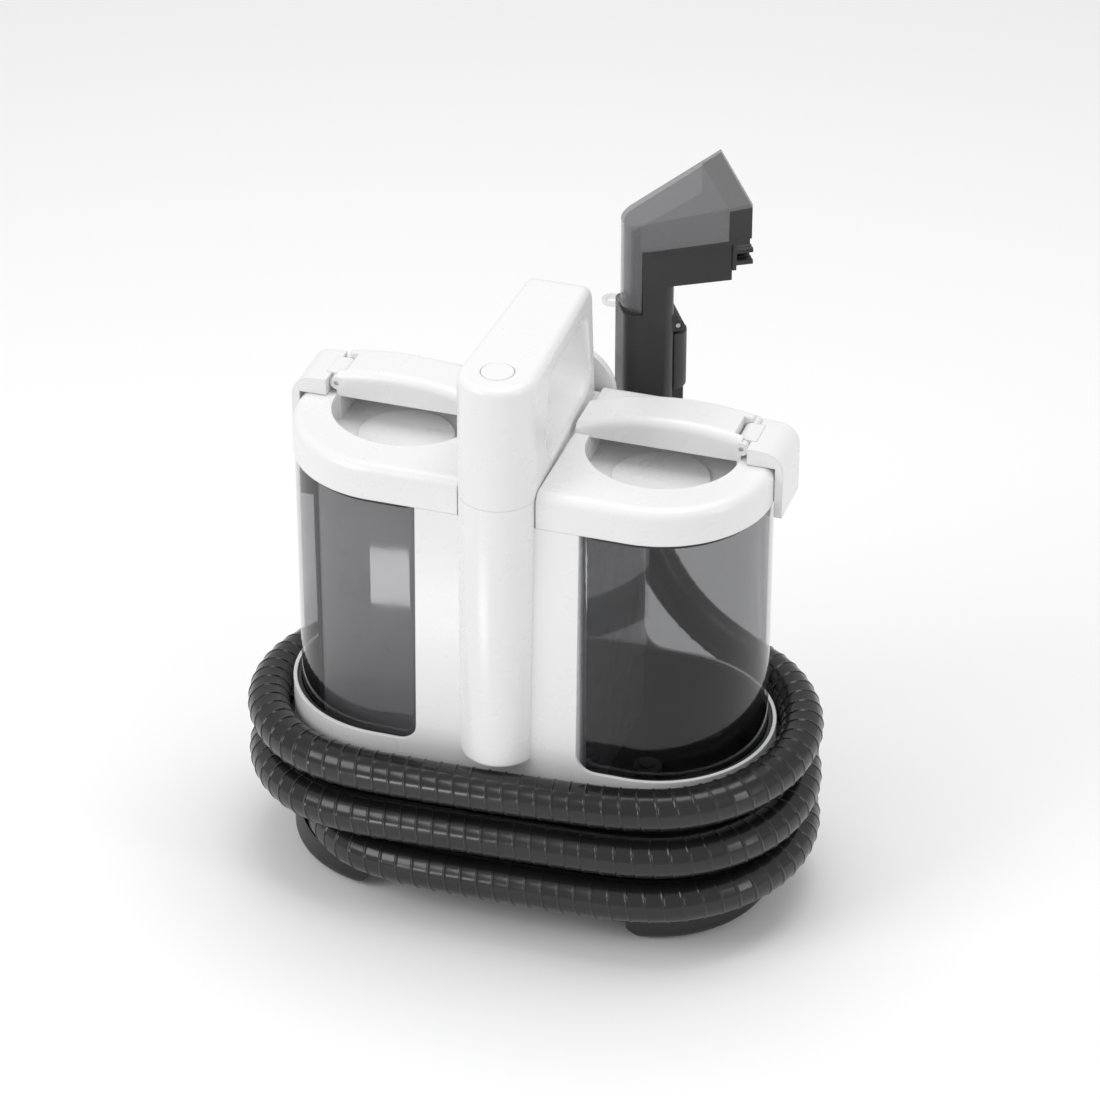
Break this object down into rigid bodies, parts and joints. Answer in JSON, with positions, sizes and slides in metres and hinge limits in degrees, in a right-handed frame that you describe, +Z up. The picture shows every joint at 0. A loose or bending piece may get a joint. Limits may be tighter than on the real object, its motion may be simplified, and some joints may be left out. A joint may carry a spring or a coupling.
{
  "type": "carpet cleaner machine",
  "caption": "Upright spot carpet cleaner with two lift-off tanks, loop carry handle, and a ribbed suction hose wound round its base to a docked hand tool.",
  "frame": {"origin": "on the floor under the middle of the body", "axes": "+X along the body, -Y towards the front, +Z up"},
  "size_m": [0.369, 0.2765, 0.4281],
  "materials": {
    "black_shell": "satin black moulded plastic",
    "rubber": "soft matt rubber",
    "steel": "zinc-plated steel",
    "white_shell": "satin-gloss white moulded plastic",
    "filter_foam": "open foam",
    "circuit": "green laminate with parts on it",
    "motor_can": "drawn steel can",
    "inner_plastic": "plain moulded plastic",
    "float_foam": "closed foam",
    "smoked_tank": "clear smoked plastic",
    "hose_black": "glossy ribbed hose",
    "tool_black": "satin black moulded plastic",
    "smoked_cover": "clear smoked plastic",
    "clear_tab": "clear plastic"
  },
  "bodies": {
    "housing": {"air_duct": "inner_plastic", "base_plate": "black_shell", "base_screws": "steel", "base_tub": "black_shell", "button_switch": "circuit", "control_board": "circuit", "cover_tab": "clear_tab", "exhaust_filter": "filter_foam", "fan_housing": "inner_plastic", "foot_pads": "rubber", "handle": "white_shell", "hose": "hose_black", "hose_outlet_cuff": "hose_black", "hose_tool_cuff": "hose_black", "housing_shell": "white_shell", "motor_mount": "rubber", "mouth_frame": "tool_black", "power_inlet": "black_shell", "rear_panel": "white_shell", "spray_nozzle": "tool_black", "suction_riser": "inner_plastic", "tank_tray": "black_shell", "tool_body": "tool_black", "tool_brush": "tool_black", "tool_cover": "smoked_cover", "tool_dock": "white_shell", "trigger_pin": "steel", "vacuum_motor": "motor_can", "vent_screws": "steel", "water_line": "inner_plastic", "water_pump": "inner_plastic"},
    "power_button": {"power_button": "white_shell"},
    "fan_rotor": {"impeller": "inner_plastic"},
    "trigger": {"trigger": "tool_black"},
    "clean_tank": {"clean_tank": "smoked_tank", "clean_valve": "inner_plastic"},
    "clean_lid": {"clean_lid": "white_shell", "clean_lid_seal": "rubber", "clean_lid_disc": "white_shell", "clean_latch_pin": "steel"},
    "clean_latch": {"clean_latch": "white_shell"},
    "dirty_tank": {"dirty_tank": "smoked_tank", "dirty_baffle": "white_shell", "baffle_trim": "inner_plastic"},
    "dirty_lid": {"dirty_lid": "white_shell", "dirty_lid_seal": "rubber", "dirty_lid_disc": "white_shell", "dirty_latch_pin": "steel", "float_cage": "inner_plastic"},
    "dirty_latch": {"dirty_latch": "white_shell"},
    "float": {"float_ball": "float_foam"}
  },
  "joints": [
    {"name": "power_button_press", "type": "slide", "parent": "housing", "child": "power_button", "axis": [0, 0, -1], "range_m": [0, 0.0012], "stiffness_N_per_m": 800},
    {"name": "fan_spin", "type": "hinge", "parent": "housing", "child": "fan_rotor", "pos_m": [0, 0, 0.18], "axis": [0, 0, 1], "continuous": true},
    {"name": "trigger_pull", "type": "hinge", "parent": "housing", "child": "trigger", "pos_m": [0.05236, 0.11953, 0.3355], "axis": [-0.515, 0.8572, 0], "range_deg": [0, 6], "stiffness_Nm_per_rad": 0.6},
    {"name": "clean_tank_lift", "type": "slide", "parent": "housing", "child": "clean_tank", "axis": [0, 0, 1], "range_m": [0, 0.24]},
    {"name": "clean_lid_lift", "type": "slide", "parent": "clean_tank", "child": "clean_lid", "axis": [0, 0, 1], "range_m": [0, 0.05]},
    {"name": "clean_latch_turn", "type": "hinge", "parent": "clean_lid", "child": "clean_latch", "pos_m": [0.1285, 0.022, 0.317], "axis": [0, -1, 0], "range_deg": [0, 35]},
    {"name": "dirty_tank_lift", "type": "slide", "parent": "housing", "child": "dirty_tank", "axis": [0, 0, 1], "range_m": [0, 0.24]},
    {"name": "dirty_lid_lift", "type": "slide", "parent": "dirty_tank", "child": "dirty_lid", "axis": [0, 0, 1], "range_m": [0, 0.075]},
    {"name": "dirty_latch_turn", "type": "hinge", "parent": "dirty_lid", "child": "dirty_latch", "pos_m": [-0.1285, 0.022, 0.317], "axis": [0, 1, 0], "range_deg": [0, 35]},
    {"name": "float_rise", "type": "slide", "parent": "dirty_lid", "child": "float", "axis": [0, 0, 1], "range_m": [0, 0.032]}
  ]
}
